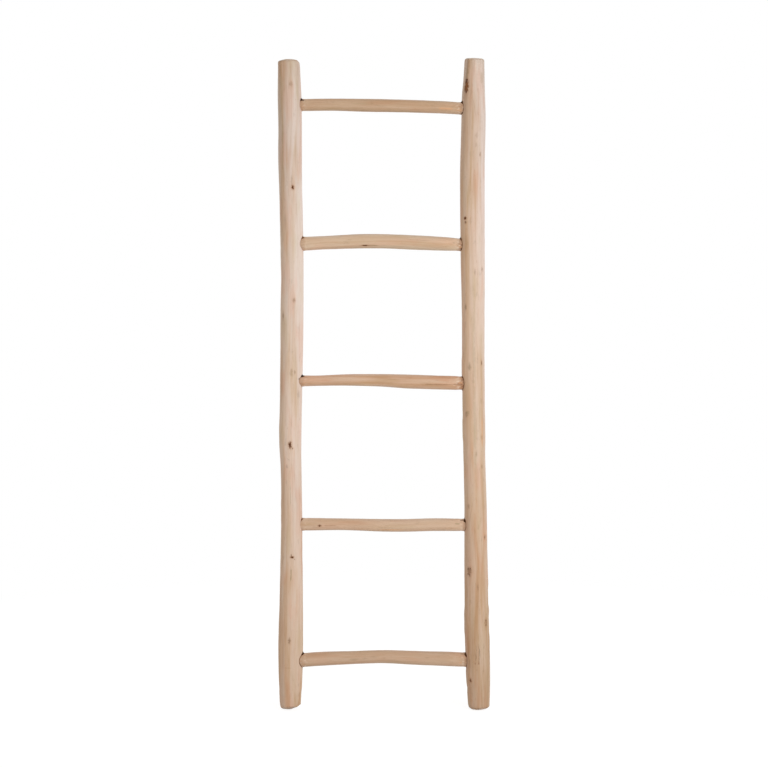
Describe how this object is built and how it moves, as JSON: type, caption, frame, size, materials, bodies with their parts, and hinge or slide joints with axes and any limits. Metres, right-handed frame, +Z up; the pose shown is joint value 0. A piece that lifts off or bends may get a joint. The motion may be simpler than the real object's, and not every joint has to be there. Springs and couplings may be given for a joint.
{
  "type": "blanket ladder",
  "caption": "Leaning ladder of peeled branch wood: uneven upright rails joined by round rungs set in blind mortises, for hanging blankets and throws.",
  "frame": {"origin": "on the floor, under the middle of the ladder's overall box", "axes": "+Z runs up the rails, -Y is the front, which faces into the room, +Y faces the wall that the ladder leans on, and +X is to the right seen from the front"},
  "size_m": [0.4908, 0.059, 1.5],
  "materials": {
    "rail_wood": "peeled and lightly sanded, unvarnished",
    "rung_wood": "peeled and lightly sanded, unvarnished",
    "nail_steel": "bright drawn wire, dulled"
  },
  "bodies": {
    "root": {"left_rail": "rail_wood", "nail_1_left": "nail_steel", "nail_1_right": "nail_steel", "nail_2_left": "nail_steel", "nail_2_right": "nail_steel", "nail_3_left": "nail_steel", "nail_3_right": "nail_steel", "nail_4_left": "nail_steel", "nail_4_right": "nail_steel", "nail_5_left": "nail_steel", "nail_5_right": "nail_steel", "right_rail": "rail_wood", "rung_1": "rung_wood", "rung_2": "rung_wood", "rung_3": "rung_wood", "rung_4": "rung_wood", "rung_5": "rung_wood"}
  },
  "joints": []
}
